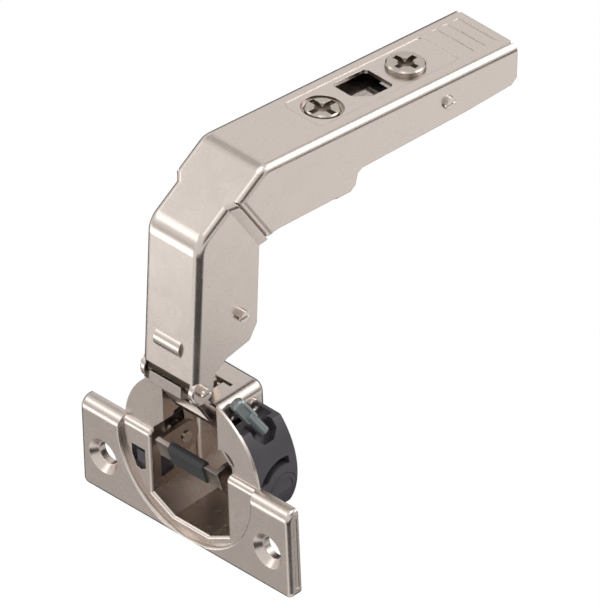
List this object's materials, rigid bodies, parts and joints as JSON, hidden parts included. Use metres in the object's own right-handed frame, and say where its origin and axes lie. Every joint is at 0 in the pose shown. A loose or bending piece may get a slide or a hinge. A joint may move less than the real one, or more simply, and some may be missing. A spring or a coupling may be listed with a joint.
{
  "type": "concealed cup hinge",
  "caption": "Concealed cabinet hinge for a blind corner: drilled-in cup with flange, damper and two links, and a cranked clip-on arm with side and depth adjusting screws.",
  "frame": {"origin": "midway between the two door screws, on the door's surface", "axes": "+X along the flange through the screws, +Y into the door, +Z from the screws past the cup towards the arm"},
  "size_m": [0.057, 0.0898, 0.0855],
  "materials": {
    "cup_sheet": "satin",
    "arm_sheet": "satin",
    "link_steel": "satin",
    "lever_steel": "satin",
    "pin_steel": "polished",
    "screw_steel": "polished",
    "spring_wire": "satin",
    "damper_plastic": "matte",
    "bumper_plastic": "matte",
    "switch_cast": "satin",
    "release_cast": "satin"
  },
  "bodies": {
    "cup": {"cup_body": "cup_sheet", "damper_housing": "damper_plastic", "damper_cap": "damper_plastic", "side_cover": "damper_plastic", "outer_cup_pin": "pin_steel", "inner_cup_pin": "pin_steel", "lever_stud": "pin_steel", "closing_spring_left": "spring_wire", "closing_spring_right": "spring_wire", "switch_pin": "pin_steel"},
    "outer_link": {"outer_link": "link_steel"},
    "inner_link": {"inner_link": "link_steel"},
    "arm": {"hinge_arm": "arm_sheet", "arm_front_pin": "pin_steel", "arm_middle_pin": "pin_steel", "rear_stud_left": "pin_steel", "rear_stud_right": "pin_steel", "thread_bush": "link_steel"},
    "damper_lever": {"damper_lever": "lever_steel", "bumper_sleeve": "bumper_plastic", "damper_rotor": "damper_plastic"},
    "switch": {"soft_close_switch": "switch_cast"},
    "side_screw": {"side_adjust_screw": "screw_steel"},
    "depth_cam": {"depth_adjust_cam": "screw_steel"},
    "carriage": {"carriage": "link_steel", "release_pin": "pin_steel", "release_spring": "spring_wire"},
    "release_lever": {"release_lever": "release_cast"}
  },
  "joints": [
    {"name": "outer_link_swing", "type": "hinge", "parent": "cup", "child": "outer_link", "pos_m": [0, 0.0084, 0.0219], "axis": [1, 0, 0], "range_deg": [0, 61.7]},
    {"name": "arm_swing", "type": "hinge", "parent": "outer_link", "child": "arm", "pos_m": [0, -0.0039, 0.0316], "axis": [1, 0, 0], "range_deg": [0, 33.3]},
    {"name": "inner_link_swing", "type": "hinge", "parent": "cup", "child": "inner_link", "pos_m": [0, 0.0038, 0.0209], "axis": [1, 0, 0], "range_deg": [0, 85.3]},
    {"name": "damper_swing", "type": "hinge", "parent": "cup", "child": "damper_lever", "pos_m": [0, 0.00515, 0.0081], "axis": [1, 0, 0], "range_deg": [0, 15], "stiffness_Nm_per_rad": 0.02, "springref_deg": -11.46},
    {"name": "switch_turn", "type": "hinge", "parent": "cup", "child": "switch", "pos_m": [0, 0.0038, 0.024], "axis": [1, 0, 0], "range_deg": [0, 10]},
    {"name": "side_screw_turn", "type": "hinge", "parent": "arm", "child": "side_screw", "pos_m": [0, 0.03841, 0.07352], "axis": [0, 0.1259, 0.992], "continuous": true},
    {"name": "depth_cam_turn", "type": "hinge", "parent": "arm", "child": "depth_cam", "pos_m": [0, 0.06105, 0.07065], "axis": [0, 0.1259, 0.992], "range_deg": [-151, 151]},
    {"name": "carriage_slide", "type": "slide", "parent": "arm", "child": "carriage", "axis": [0, 0.9962, -0.0872], "range_m": [-0.0025, 0.0025]},
    {"name": "release_turn", "type": "hinge", "parent": "carriage", "child": "release_lever", "pos_m": [0, 0.07308, 0.06241], "axis": [1, 0, 0], "range_deg": [0, 12], "stiffness_Nm_per_rad": 0.01, "springref_deg": -11.46}
  ],
  "couplings": [
    {"joint": "arm_swing", "follows": "outer_link_swing", "ratio": 0.5395},
    {"joint": "inner_link_swing", "follows": "outer_link_swing", "ratio": 1.3822},
    {"joint": "depth_cam_turn", "follows": "carriage_slide", "rad_per_m": 1052.6}
  ]
}
